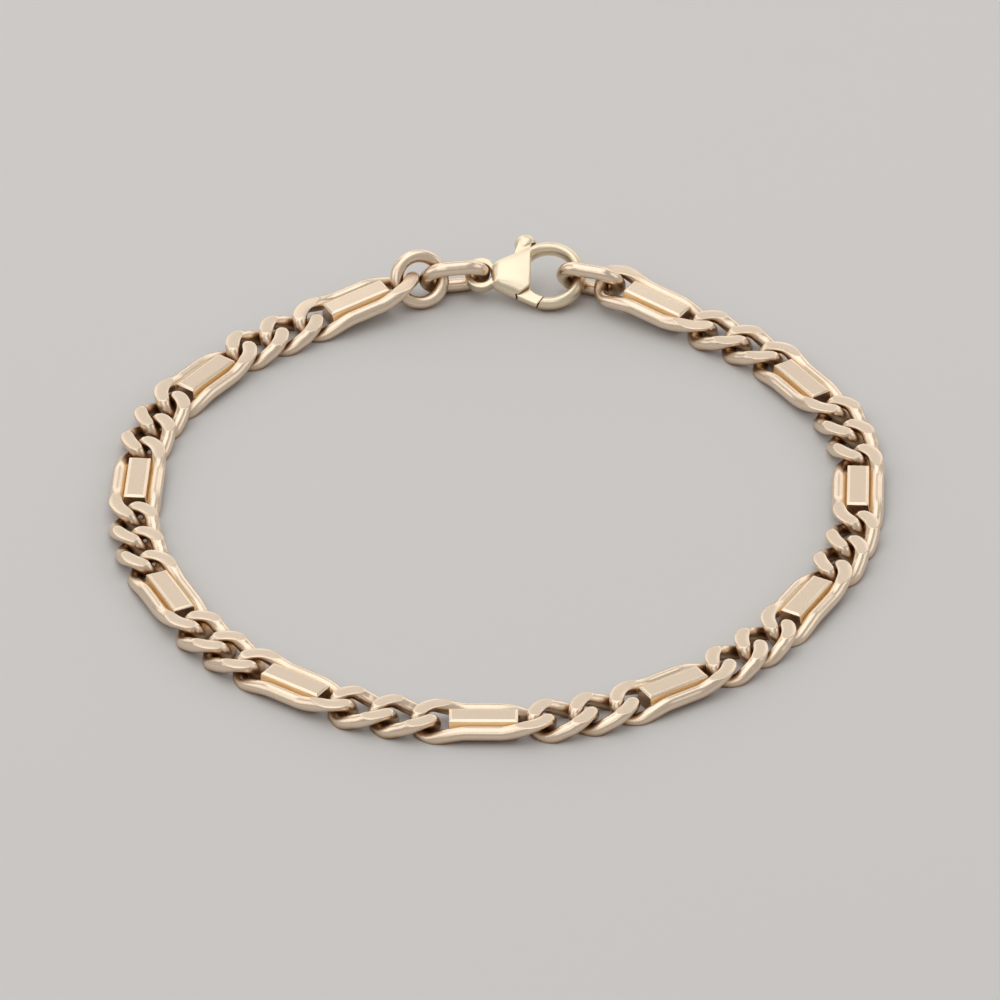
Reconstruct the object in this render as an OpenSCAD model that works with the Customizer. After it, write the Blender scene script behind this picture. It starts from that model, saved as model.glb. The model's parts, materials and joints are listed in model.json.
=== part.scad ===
/* [Wire and links] */
// Diameter of the round wire that the curb links are bent from
wire_d = 1.25; // [1.1:0.05:1.35]
// Width of the chain over the outsides of its two rails
chain_w = 4.5; // [4.3:0.1:5.2]
// Thickness of the chain between the flats cut on its top and its underside
flat_h = 1.75; // [1.6:0.05:2.1]
// Outside length of a short curb link
short_l = 6.25; // [6:0.05:7]
// Outside length of a long link, which holds a bar
long_l = 12.3; // [11.5:0.1:14]
// Clearance between two wires that hook through each other
link_gap = 0.1; // [0.08:0.01:0.2]
// Clearance where the pieces that stand up beside the clasp hook through each other
stand_gap = 0.25; // [0.2:0.01:0.3]

/* [Twist] */
// Turn of a link's end wire about the chain, in degrees
end_twist = 52; // [48:1:56]
// How late the twist comes along the rails, 1 is an even twist
twist_bias = 1.2; // [1:0.1:1.4]
// Length of a long link's rails that stays untwisted beside the bar
straight_l = 4; // [3:0.1:5]

/* [Bars] */
// Open space left between the end of a bar and the next link's wire
bar_gap = 0.75; // [0.4:0.05:1.2]
// Depth of the bar's top under the cut flats
bar_drop = 0.08; // [0:0.02:0.2]
// Radius of the bar's long top edges
bar_round = 0.2; // [0.1:0.05:0.4]
// How far the bar's sides are sunk into the rails that they are soldered to
bar_seat = 0.1; // [0.05:0.01:0.2]

/* [Pattern] */
// Number of long links round the bracelet
long_count = 11; // [9:1:12]
// Number of short links between two long ones
short_run = 2; // [1:1:3]

/* [Jump ring and end links] */
// Diameter of the jump ring's wire
ring_wire_d = 1.15; // [1.0:0.05:1.3]
// Spare room in the jump ring beside the two wires that it holds
ring_play = 0.45; // [0.4:0.05:0.8]
// Outside length of the two plain links beside the clasp
end_l = 6.25; // [6:0.05:7]
// Lean of the jump ring from the ground, in degrees
ring_lean = 54; // [50:1:60]
// Lean of the two end links
end_lean = 118; // [112:1:120]

/* [Clasp body] */
// Length of the clasp over everything
clasp_l = 10.6; // [10.2:0.1:12]
// Width of the clasp's round head
clasp_w = 6.5; // [6.2:0.1:7.2]
// Width of the hook's arm in the plane of the clasp
arm_w = 1.15; // [1:0.05:1.3]
// Spare room for the hook's thickness inside an end link
hook_play = 0.4; // [0.3:0.05:0.7]
// Width of the clasp at its belly
belly_w = 4.5; // [4.2:0.1:4.9]
// Thickness of the clasp at its belly
belly_t = 2.3; // [2.2:0.1:2.6]
// Width of the clasp's blunt tail, beside the lug
tail_w = 3; // [2.8:0.1:3.4]
// Thickness of the clasp at its tail
tail_t = 1.9; // [1.8:0.1:2.2]
// Thickness of the lug at the tail
lug_t = 1.1; // [1:0.1:1.3]
// Spare room for the end link's wire in the lug's hole
lug_play = 0.55; // [0.4:0.05:0.7]
// Wall of the lug round its hole
lug_wall = 0.55; // [0.5:0.05:0.7]
// Lean of the clasp from the ground, in degrees
clasp_lean = 30; // [22:1:34]

/* [Clasp lever] */
// Thickness of the lever
lever_t = 1; // [0.9:0.05:1.1]
// Clearance round the lever in its slot
lever_gap = 0.08; // [0.05:0.01:0.1]
// Length of the gate, from the pin to the hook's nose
gate_l = 3.3; // [3.2:0.05:3.4]
// Diameter of the pin that the lever turns on
pin_d = 0.8; // [0.6:0.05:0.9]
// Clearance between the pin and the lever's bore, on the radius
pin_gap = 0.05; // [0.03:0.01:0.08]
// Wall of the lever round its bore
hub_wall = 0.3; // [0.25:0.05:0.35]
// Largest turn of the lever, in degrees
lever_turn = 45; // [20:1:45]
// Width of the lever's neck, which carries the knob
neck_w = 1.2; // [0.9:0.05:1.3]
// Diameter of the knob
knob_d = 1.9; // [1.6:0.05:2]
// Height of the knob's centre over the clasp's far edge
knob_rise = 0.42; // [0.4:0.02:0.6]

/* [Hidden] */
link_stations = 16;
wire_sides = 6;
fine = 48;
big = 40;

rail_r = (chain_w - wire_d) / 2;
inner_r = rail_r - wire_d / 2;
half_h = flat_h / 2;
bar_l = long_l - 4 * wire_d - 2 * bar_gap;

// The loop as it lies, clockwise from the hook, as seen from above
ROUTE = [
    [6.3, 33.4], [15, 29.2], [26.8, 18.9], [31.3, 3.6], [26.8, -13], [15.2, -26],
    [-0.6, -31.1], [-16.4, -26.7], [-27.9, -14.1], [-31.7, 2.6], [-27, 18.6], [-14.4, 29.3],
    [-5.2, 33.2]
];
SPANS = len(ROUTE);
STEPS = 12;

// A point of the closed smooth curve through the route's points
function route_raw(u) =
    let (k = floor(u), f = u - k,
        a = ROUTE[(k + SPANS - 1) % SPANS], b = ROUTE[k % SPANS],
        c = ROUTE[(k + 1) % SPANS], d = ROUTE[(k + 2) % SPANS])
    0.5 * (2 * b + (c - a) * f + (2 * a - 5 * b + 4 * c - d) * f * f
        + (3 * b - a - 3 * c + d) * f * f * f);

// The sums of a list's values from its start, beginning with 0
function running(values) =
    [for (i = 0, s = 0; i <= len(values); s = s + (i < len(values) ? values[i] : 0), i = i + 1) s];

RAW = [for (i = [0 : SPANS * STEPS]) route_raw(i / STEPS)];
RUN = running([for (i = [1 : len(RAW) - 1]) norm(RAW[i] - RAW[i - 1])]);
X_BY_RUN = [for (i = [0 : len(RAW) - 1]) [RUN[i], RAW[i].x]];
Y_BY_RUN = [for (i = [0 : len(RAW) - 1]) [RUN[i], RAW[i].y]];

// Sizes of the clasp along its length, from the centre of the lug's hole
lug_hole_d = wire_d + lug_play;
lug_d = lug_hole_d + 2 * lug_wall;
head_t = 2 * inner_r - hook_play;
head_x = clasp_l - lug_d / 2 - clasp_w / 2;
eye_r = clasp_w / 2 - arm_w;
eye_edge_x = head_x - 0.77 * eye_r;
tail_x = lug_d / 4 + tail_t / 2;
belly_x = 0.6 * head_x;
lug_seat = inner_r - sqrt(inner_r * inner_r - lug_t * lug_t / 4);
clasp_tail_joint = lug_seat + stand_gap / 2 - lug_hole_d / 2;
clasp_hook_joint = head_x + eye_r - stand_gap / 2;

// The lever's pivot, its knob and the angles about the pivot between which its gate lies
pivot = [0.44 * head_x, -0.16 * belly_w];
hub_r = pin_d / 2 + pin_gap + hub_wall;
slot_t = lever_t + 2 * lever_gap;
neck_room = neck_w / 2 + lever_gap;
gate_low = -68;
gate_high = -12;
flank = asin((clasp_w - belly_w) / 2 / (head_x - belly_x));
function far_edge(x) = (belly_w / 2 + sin(flank) * (x - belly_x)) / cos(flank);
knob_x = 0.64 * head_x;
knob = [knob_x, far_edge(knob_x) + knob_rise];
knob_angle = atan2(knob.y - pivot.y, knob.x - pivot.x);
cheek_slant = 36;

// The pieces beside the clasp stand up, and a long link slopes down from them to the ground
ring_r = wire_d + ring_play / 2 + ring_wire_d / 2;
ring_z = ring_r * sin(ring_lean) + ring_wire_d / 2;
end_link_z = rail_r * sin(end_lean) + wire_d / 2;
low_reach = (long_l - wire_d / 2) / 2;
long_pitch = long_l - 2 * wire_d - link_gap;
sloped_pitch = long_l - 2 * wire_d - stand_gap;
slope = asin((end_link_z - half_h) / (sloped_pitch / 2 + low_reach));
sloped_z = half_h * cos(slope) + low_reach * sin(slope);

function two_digits(i) = str(i < 10 ? "0" : "", i);
function bar_name(i) = str("bar_link_", two_digits(i));
function curb_name(i) = str("curb_link_", two_digits(i));
function sloped(i) = i == 1 || i == long_count;
curb_count = (long_count - 1) * short_run;

// What each kind of piece adds to the loop, from joint to joint
short_pitch = short_l - 2 * wire_d - link_gap;
end_pitch = end_l - 2 * wire_d - stand_gap;
ring_pitch = 2 * ring_r - ring_wire_d - stand_gap;
clasp_pitch = clasp_hook_joint - clasp_tail_joint;
ORDER = concat(
    [["end_link_hook", end_pitch]],
    [for (i = [1 : long_count]) each concat(
        [[bar_name(i), sloped(i) ? sloped_pitch * cos(slope) : long_pitch]],
        i == long_count ? [] :
            [for (j = [1 : short_run]) [curb_name((i - 1) * short_run + j), short_pitch]])],
    [["jump_ring", ring_pitch], ["end_link_tail", end_pitch], ["clasp", clasp_pitch]]);

// Each straight piece spans a little more of the round loop than its own pitch
mean_r = running([for (piece = ORDER) piece[1]])[len(ORDER)] / (2 * PI);
function arc_of(pitch) = mean_r * 2 * asin(pitch / (2 * mean_r)) * PI / 180;
JOINT_RUN = running([for (piece = ORDER) arc_of(piece[1])]);
scale_route = JOINT_RUN[len(ORDER)] / RUN[len(RAW) - 1];
function on_route(i) =
    let (s = JOINT_RUN[i] / scale_route)
    scale_route * [lookup(s, X_BY_RUN), lookup(s, Y_BY_RUN)];

// The middle of the space taken up, from the chain's outer sides and the knob's far edge
MIDS = [for (i = [0 : len(ORDER) - 1]) (on_route(i) + on_route(i + 1)) / 2];
knob_reach = (knob.y + knob_d / 2) * cos(clasp_lean) + lever_t / 2 * sin(clasp_lean);
far_y = MIDS[len(ORDER) - 1].y + knob_reach;
near_y = min([for (p = MIDS) p.y]) - chain_w / 2;
middle = [(min([for (p = MIDS) p.x]) + max([for (p = MIDS) p.x])) / 2, (near_y + far_y) / 2];
function joint(i) = on_route(i) - middle;
function place_of(name) = [for (i = [0 : len(ORDER) - 1]) if (ORDER[i][0] == name) i][0];

link_gold = [0.86, 0.66, 0.47];
clasp_gold = [0.88, 0.74, 0.48];

// Moves a piece from its own frame, x along the chain and y outwards, to its place in the loop
module at_place(name, z, lift = 0) {
    i = place_of(name);
    a = joint(i);
    b = joint(i + 1);
    translate([(a.x + b.x) / 2, (a.y + b.y) / 2, z])
        rotate([0, 0, atan2(b.y - a.y, b.x - a.x)])
            rotate([0, -lift, 0])
                children();
}

// The middle line of a flat link, as a closed list of points
function oval(length, straight) =
    let (a = (length - wire_d) / 2 - rail_r, n = link_stations / 2 - 2,
        rail = straight > 0 ? [-straight / 2, straight / 2] : [0],
        end = [for (i = [0 : n]) [a + rail_r * sin(i * 180 / n), -rail_r * cos(i * 180 / n)]])
    concat([for (x = rail) [x, -rail_r]], end, [for (x = rail) [-x, rail_r]], [for (q = end) -q]);

// How far the link has turned about its length at x, for a wire of half length a
function twist_at(x, a, straight, turn) =
    turn * sign(x) * pow(max(0, abs(x) - straight / 2) / (a - straight / 2), twist_bias);

// One round wire bent round an oval that is twisted about its length
module bent_wire(length, turn, straight = 0) {
    flat_path = oval(length, straight);
    n = len(flat_path);
    turns = [for (p = flat_path) twist_at(p.x, (length - wire_d) / 2, straight, turn)];
    path = [for (i = [0 : n - 1])
        let (p = flat_path[i], w = turns[i])
        [p.x, p.y * cos(w), -p.y * sin(w)]];
    rings = [for (i = [0 : n - 1])
        let (along = path[(i + 1) % n] - path[(i + n - 1) % n],
            tangent = along / norm(along), up = [0, sin(turns[i]), cos(turns[i])],
            side = cross(tangent, up), out = side / norm(side), top = cross(out, tangent))
        each [for (j = [0 : wire_sides - 1])
            let (q = j * 360 / wire_sides)
            path[i] + wire_d / 2 * (cos(q) * out + sin(q) * top)]];
    faces = [for (i = [0 : n - 1], j = [0 : wire_sides - 1])
        let (this = i * wire_sides, next = ((i + 1) % n) * wire_sides, k = (j + 1) % wire_sides)
        each [[this + j, next + k, next + j], [this + j, this + k, next + k]]];
    polyhedron(points = rings, faces = faces, convexity = 6);
}

// What is left of a link after its top and its underside are cut flat
module between_flats(length) {
    intersection() {
        children();
        cube([length + wire_d, chain_w + wire_d, flat_h], center = true);
    }
}

// The bar between a long link's rails, with its long top edges rounded
module bar() {
    half_w = inner_r + bar_seat;
    top = half_h - bar_drop;
    corner = [for (q = [0 : 30 : 90])
        [half_w - bar_round + bar_round * cos(q), top - bar_round + bar_round * sin(q)]];
    mirrored = [for (i = [len(corner) - 1 : -1 : 0]) [-corner[i].x, corner[i].y]];
    rotate([90, 0, 90])
        linear_extrude(height = bar_l, center = true)
            polygon(concat([[-half_w, -half_h], [half_w, -half_h]], corner, mirrored));
}

module bar_link(i) {
    lift = i == 1 ? -slope : i == long_count ? slope : 0;
    color(link_gold)
        at_place(bar_name(i), sloped(i) ? sloped_z : half_h, lift)
            union() {
                between_flats(long_l) bent_wire(long_l, end_twist, straight_l);
                bar();
            }
}

module curb_link(i) {
    color(link_gold)
        at_place(curb_name(i), half_h)
            between_flats(short_l) bent_wire(short_l, end_twist);
}

// A plain oval link that stands on its edge beside the clasp
module end_link(name) {
    color(link_gold)
        at_place(name, end_link_z)
            rotate([end_lean, 0, 0])
                bent_wire(end_l, 0);
}

module jump_ring() {
    color(link_gold)
        at_place("jump_ring", ring_z)
            rotate([ring_lean, 0, 0])
                rotate_extrude($fn = fine)
                    translate([ring_r, 0])
                        circle(d = ring_wire_d, $fn = fine);
}

// The clasp's own frame: x from the lug's hole towards the hook, y to the knob's side
module at_clasp() {
    at_place("clasp", end_link_z)
        rotate([clasp_lean, 0, 0])
            translate([-(clasp_tail_joint + clasp_hook_joint) / 2, 0, 0])
                children();
}

module at_pivot(angle = 0) {
    translate([pivot.x, pivot.y, 0])
        rotate([0, 0, angle])
            children();
}

module upright(d, h) {
    cylinder(d = d, h = h, center = true, $fn = fine);
}

// A disc with a half round rim
module round_disc(d, t) {
    rotate_extrude($fn = 32)
        intersection() {
            translate([(d - t) / 2, 0]) circle(d = t, $fn = 16);
            translate([0, -t]) square([d, 2 * t]);
        }
}

// The clasp's outer form, widening from its tail over the belly to the round head
module clasp_form() {
    hull() {
        for (side = [-1, 1])
            translate([tail_x, side * (tail_w - tail_t) / 2, 0]) round_disc(tail_t, tail_t);
        translate([belly_x, 0, 0]) round_disc(belly_w, belly_t);
        translate([head_x, 0, 0]) round_disc(clasp_w, head_t);
    }
}

// The hook's eye: round, with a straight edge at the belly and a half round rim on the arm
module eye() {
    intersection() {
        translate([head_x, 0, 0])
            rotate_extrude($fn = fine)
                difference() {
                    translate([0, -belly_t]) square([eye_r + arm_w / 2, 2 * belly_t]);
                    translate([eye_r + head_t / 2, 0]) circle(d = head_t, $fn = fine);
                }
        translate([eye_edge_x, -big / 2, -big / 2]) cube(big);
    }
}

// The space on the near side that the gate closes, between the belly and the hook's nose
module mouth() {
    corner_y = -sqrt(eye_r * eye_r - (head_x - eye_edge_x) * (head_x - eye_edge_x));
    intersection() {
        at_pivot() upright(2 * gate_l, 2 * belly_t);
        translate([eye_edge_x, corner_y, 0])
            rotate([0, 0, cheek_slant])
                translate([-big / 2, -big, -big / 2])
                    cube(big);
    }
}

// A wedge about the pivot between two angles, made wider beyond each of them
module wedge(low, high, low_side, high_side, t) {
    a = low_side * dir(low - 90);
    b = high_side * dir(high + 90);
    at_pivot()
        linear_extrude(height = t, center = true)
            polygon([a, a + big * dir(low), 2 * big * dir((low + high) / 2), b + big * dir(high), b]);
}
function dir(angle) = [cos(angle), sin(angle)];

// The lever's room in the body, which reaches as far as the gate and leaves the hook's arm whole
module lever_slot() {
    at_pivot() upright(2 * (hub_r + lever_gap), slot_t);
    intersection() {
        at_pivot() upright(2 * gate_l - lever_gap, belly_t);
        wedge(gate_low, gate_high + lever_turn, lever_gap, lever_gap, slot_t);
    }
    wedge(knob_angle, knob_angle + lever_turn, neck_room, neck_room, slot_t);
}

// The knob sits on the far edge, and only the lever's neck goes through the slot
module knob_tab() {
    intersection() {
        translate([knob.x, knob.y, 0]) upright(knob_d, lever_t);
        translate([knob.x, far_edge(knob.x) + lever_gap / cos(flank), 0])
            rotate([0, 0, flank])
                translate([-big / 2, 0, -big / 2])
                    cube(big);
    }
}

module clasp_body() {
    color(clasp_gold)
        at_clasp() {
            difference() {
                union() {
                    clasp_form();
                    upright(lug_d, lug_t);
                }
                upright(lug_hole_d, 2 * belly_t);
                eye();
                mouth();
                lever_slot();
            }
            at_pivot() upright(pin_d, tail_t);
        }
}

module clasp_lever() {
    color(clasp_gold)
        at_clasp()
            difference() {
                union() {
                    intersection() {
                        clasp_form();
                        at_pivot() upright(2 * (gate_l - lever_gap), lever_t);
                        wedge(gate_low, gate_high, 0, 0, lever_t);
                    }
                    at_pivot() upright(2 * hub_r, lever_t);
                    at_pivot(knob_angle)
                        translate([0, -neck_w / 2, -lever_t / 2])
                            cube([norm(knob - pivot), neck_w, lever_t]);
                    knob_tab();
                }
                eye();
                at_pivot() upright(pin_d + 2 * pin_gap, 2 * lever_t);
            }
}

for (i = [1 : long_count]) bar_link(i);
for (i = [1 : curb_count]) curb_link(i);
jump_ring();
end_link("end_link_tail");  // end_link_tail
end_link("end_link_hook");  // end_link_hook
clasp_body();
clasp_lever();
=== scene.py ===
"""Dresses the link bracelet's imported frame: smooth gold, a plain floor, soft light, a camera."""

import json
import logging
import math
from dataclasses import dataclass
from enum import Enum

import bmesh
import bpy
import numpy as np
from mathutils import Matrix, Vector


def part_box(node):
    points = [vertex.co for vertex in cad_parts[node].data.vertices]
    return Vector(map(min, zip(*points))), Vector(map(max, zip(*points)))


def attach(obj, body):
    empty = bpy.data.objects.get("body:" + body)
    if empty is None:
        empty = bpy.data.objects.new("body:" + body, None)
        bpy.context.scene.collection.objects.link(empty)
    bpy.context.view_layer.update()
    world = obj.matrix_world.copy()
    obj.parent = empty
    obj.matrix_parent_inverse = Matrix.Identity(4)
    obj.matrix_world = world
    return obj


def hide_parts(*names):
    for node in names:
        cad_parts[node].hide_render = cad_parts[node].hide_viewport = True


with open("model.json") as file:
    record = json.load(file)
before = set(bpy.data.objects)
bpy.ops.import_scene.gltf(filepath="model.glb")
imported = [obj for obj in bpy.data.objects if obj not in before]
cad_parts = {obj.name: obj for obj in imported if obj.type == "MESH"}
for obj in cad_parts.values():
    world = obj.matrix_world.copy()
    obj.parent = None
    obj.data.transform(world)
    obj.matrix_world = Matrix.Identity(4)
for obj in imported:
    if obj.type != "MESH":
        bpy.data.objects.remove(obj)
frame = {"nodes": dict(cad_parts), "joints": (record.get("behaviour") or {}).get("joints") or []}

LOG = logging.getLogger("bracelet")
MM = 0.001
ROOT_BODY = "bracelet"
LEVER_BODY = "lever"

# How close points are merged, in a piece's own millimetres
WELD = 0.001
# Steps of a full turn
ROUND_STEPS = 96
# The middle part of a noise's values
NOISE_MIDDLE = (0.3, 0.7)

BMesh = bmesh.types.BMesh
Socket = bpy.types.NodeSocket
Triple = tuple[float, float, float]
Pair = tuple[float, float]


class Slot(Enum):
    """The record's material slots."""

    LINKS = "link_gold"
    CLASP = "clasp_gold"


class Cut(Enum):
    """How a second shape works on the first one."""

    AWAY = "DIFFERENCE"
    JOIN = "UNION"
    KEEP = "INTERSECT"


def direction(angle: float) -> Vector:
    """Gives the unit vector at an angle, in degrees, from the x axis of a piece's own plane."""
    return Vector((math.cos(math.radians(angle)), math.sin(math.radians(angle)), 0.0))


@dataclass(frozen=True)
class Seat:
    """A piece's own frame, in millimetres, inside the bracelet's frame, in metres.

    Attributes:
        origin: The own frame's origin, in metres.
        along: The unit vector of its x axis.
        up: The unit vector of its z axis.
    """

    origin: Vector
    along: Vector
    up: Vector

    @classmethod
    def of_node(cls, name: str) -> "Seat":
        """Finds a link's seat from the centre and the main axes of its CAD solid.

        Args:
            name: The CAD node's name.

        Returns:
            The seat, with x along the link's length and z across its thickness, upwards.
        """
        mesh = frame["nodes"][name].data
        mesh.calc_loop_triangles()
        low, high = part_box(name)
        centre = (np.array(low) + np.array(high)) / 2
        points = np.array([vert.co for vert in mesh.vertices]) - centre
        corners = points[np.array([tri.vertices for tri in mesh.loop_triangles])]
        # Each triangle spans a tetrahedron with the centre. A sixth of its triple product is its
        # volume, and a twentieth of the volume weighs its corners in the second moments.
        a, b, c = corners[:, 0], corners[:, 1], corners[:, 2]
        volumes = np.einsum("ij,ij->i", a, np.cross(b, c)) / 6
        total = volumes.sum()
        middle = (volumes[:, None] * (a + b + c) / 4).sum(axis=0) / total
        spread = sum(np.einsum("i,ij,ik->jk", volumes / 20, p, p) for p in (a, b, c, a + b + c))
        _, axes = np.linalg.eigh(spread / total - np.outer(middle, middle))
        along, up = Vector(axes[:, 2]), Vector(axes[:, 0])
        up = up if up.z > 0 else -up
        along = along if along.x > 0 else -along
        return cls(Vector(centre + middle), along, up)

    @classmethod
    def of_ring(cls, name: str) -> "Seat":
        """Finds a round ring's seat, with its x axis level."""
        seat = cls.of_node(name)
        return cls(seat.origin, Vector((0, 0, 1)).cross(seat.up).normalized(), seat.up)

    @classmethod
    def of_hinge(cls, joint: dict, pivot: Vector) -> "Seat":
        """Finds the clasp's seat from its lever's hinge.

        Args:
            joint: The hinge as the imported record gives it.
            pivot: The hinge's place in the clasp's own frame, in millimetres.

        Returns:
            The seat, with x level and z along the hinge's axis.
        """
        up = Vector(joint["axis"]).normalized()
        along = up.cross(Vector((0, 0, 1))).normalized()
        along = along if along.x > 0 else -along
        seat = cls(Vector(joint["pos_m"]), along, up)
        return cls(seat.matrix() @ -pivot, along, up)

    def matrix(self) -> Matrix:
        """Places the own frame.

        Returns:
            The matrix from the piece's own millimetres to the bracelet's metres.
        """
        across = self.up.cross(self.along)
        turn = Matrix((self.along, across, self.up)).transposed().to_4x4()
        return Matrix.Translation(self.origin) @ turn @ Matrix.Scale(MM, 4)


def volume_centre(bm: BMesh) -> Vector:
    """Finds the centre of a closed bmesh's volume.

    Args:
        bm: The closed bmesh.

    Returns:
        The centre.
    """
    total, centre = 0.0, Vector()
    for tri in bm.calc_loop_triangles():
        a, b, c = (loop.vert.co for loop in tri)
        volume = a.dot(b.cross(c)) / 6
        total += volume
        centre += volume * (a + b + c) / 4
    return centre / total


@dataclass(frozen=True)
class Section:
    """One section of a bent wire that is cut flat above and below.

    Attributes:
        centre: The wire's centre.
        side: The unit vector of the section's level axis.
        top: The unit vector of the section's rising axis.
        radius: The wire's radius.
        half_height: Height of the upper cut over the link's middle plane, and of the lower one
            under it.
    """

    centre: Vector
    side: Vector
    top: Vector
    radius: float
    half_height: float

    # Angles about the wire's centre, in degrees: up, down, the least cut and the strip beside it
    UPWARDS, DOWNWARDS = 90.0, 270.0
    LEAST_CUT = 6.0
    SHOULDER = 6.0
    # The strip's largest share of a flat, and how far a corner stays out
    SHOULDER_SHARE = 0.25
    CORNER_SHARE = 0.5
    # Points across a flat, its strips left out, and round the wire between the flats
    FLAT_SITES = 4
    ROUND_SITES = 11

    def at(self, angle: float) -> Vector:
        """Gives the wire's uncut surface at an angle, in degrees, from the level axis."""
        way = direction(angle)
        return self.centre + self.radius * (way.x * self.side + way.y * self.top)

    def cut_angle(self, sign: int) -> float:
        """Gives half the angle that the upper (1) or the lower (-1) cut takes off the section."""
        share = (self.half_height - sign * self.centre.z) / (self.radius * self.top.z)
        return max(self.LEAST_CUT, math.degrees(math.acos(max(-1.0, min(1.0, share)))))

    def outline(self) -> list[tuple[Vector, float, float]]:
        """Draws the section, flats and rounds in turn.

        Returns:
            Its points in order, each with how flat and how much of an edge it is.
        """
        points = []
        upper, lower = self.cut_angle(1), self.cut_angle(-1)
        for start, cut, other in ((self.UPWARDS, upper, lower), (self.DOWNWARDS, lower, upper)):
            real = 1.0 if cut > self.LEAST_CUT else 0.0
            before, after = start - cut - self.SHOULDER, start + cut + self.SHOULDER
            first, last = self.at(start - cut), self.at(start + cut)
            shoulder = min(self.SHOULDER_SHARE, self.SHOULDER / (2 * cut))
            between = (i / (self.FLAT_SITES - 1) for i in range(1, self.FLAT_SITES - 1))
            for share in (0.0, shoulder, *between, 1 - shoulder, 1.0):
                corner = share in (0.0, 1.0)
                spot = first.lerp(last, share)
                if corner:
                    outer = self.at(before if share == 0.0 else after)
                    inner = first.lerp(last, abs(share - shoulder))
                    pulled = (outer + inner) * (1 - self.CORNER_SHARE) / 2
                    spot = spot * self.CORNER_SHARE + pulled
                points.append((spot, 0.0 if corner else real, real if corner else 0.0))
            end = start + 180 - other - self.SHOULDER
            for i in range(self.ROUND_SITES):
                angle = after + (end - after) * i / (self.ROUND_SITES - 1)
                points.append((self.at(angle), 0.0, 0.0))
        return points


@dataclass(frozen=True)
class LinkForm:
    """A link bent from round wire, twisted about its length and cut flat.

    Attributes:
        length: Outside length.
        width: Outside width.
        wire: Diameter of the wire.
        flat_height: Thickness between the two cut flats.
        twist: Turn of the end wire about the link's length, in degrees.
        late: How late the twist comes along the link, 1 is an even twist.
        straight: Length in the middle that stays untwisted.
        step: Distance between sections.
    """

    length: float
    width: float = 4.5
    wire: float = 1.25
    flat_height: float = 1.75
    twist: float = 52.0
    late: float = 1.2
    straight: float = 0.0
    step: float = 0.17

    @property
    def reach(self) -> float:
        """Half the length of the wire's middle line."""
        return (self.length - self.wire) / 2

    @property
    def bend(self) -> float:
        """Radius of the wire's middle line round the link's ends."""
        return (self.width - self.wire) / 2

    def plain_path(self, run: float) -> Vector:
        """Follows the untwisted middle line.

        Args:
            run: Distance along it from the middle of one rail.

        Returns:
            The point there.
        """
        straight, turn = 2 * (self.reach - self.bend), math.pi * self.bend
        half = straight + turn
        turned = run % (2 * half) >= half
        run %= half
        if run < straight / 2:
            spot = Vector((run, -self.bend, 0))
        elif run < straight / 2 + turn:
            around = (run - straight / 2) / self.bend
            x = straight / 2 + self.bend * math.sin(around)
            spot = Vector((x, -self.bend * math.cos(around), 0))
        else:
            spot = Vector((straight + turn - run, self.bend, 0))
        return -spot if turned else spot

    def path(self, run: float) -> Vector:
        """Follows the twisted middle line.

        Args:
            run: Distance along the untwisted one.

        Returns:
            The point there.
        """
        spot = self.plain_path(run)
        beyond = max(0.0, abs(spot.x) - self.straight / 2) / (self.reach - self.straight / 2)
        turn = math.radians(self.twist) * math.copysign(beyond ** self.late, spot.x)
        return Vector((spot.x, spot.y * math.cos(turn), -spot.y * math.sin(turn)))

    def section(self, run: float) -> Section:
        """Cuts through the wire.

        Args:
            run: Distance along the untwisted middle line.

        Returns:
            The section there.
        """
        ahead, behind = self.path(run + self.step / 4), self.path(run - self.step / 4)
        tangent = (ahead - behind).normalized()
        top = (Vector((0, 0, 1)) - tangent * tangent.z).normalized()
        return Section(self.path(run), tangent.cross(top), top, self.wire / 2, self.flat_height / 2)

    def build(self) -> BMesh:
        """Rolls a grid into the wire, bends it round the link and closes its two seams.

        Returns:
            The link as a bmesh.
        """
        bm = bmesh.new()
        around = 4 * (self.reach - self.bend) + 2 * math.pi * self.bend
        stations = 2 * round(around / self.step / 2)
        outlines = [self.section(around * i / stations).outline() for i in range(stations)]
        sites = len(outlines[0])
        flat = bm.verts.layers.float.new("flat")
        edge = bm.verts.layers.float.new("edge")
        grid = bmesh.ops.create_grid(bm, x_segments=sites, y_segments=stations, size=1.0)
        for vert in grid["verts"]:
            site = round((vert.co.x + 1) / 2 * sites) % sites
            station = round((vert.co.y + 1) / 2 * stations) % stations
            vert.co, vert[flat], vert[edge] = outlines[station][site]
        bmesh.ops.remove_doubles(bm, verts=bm.verts, dist=WELD)
        bmesh.ops.recalc_face_normals(bm, faces=bm.faces)
        return bm


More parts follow.
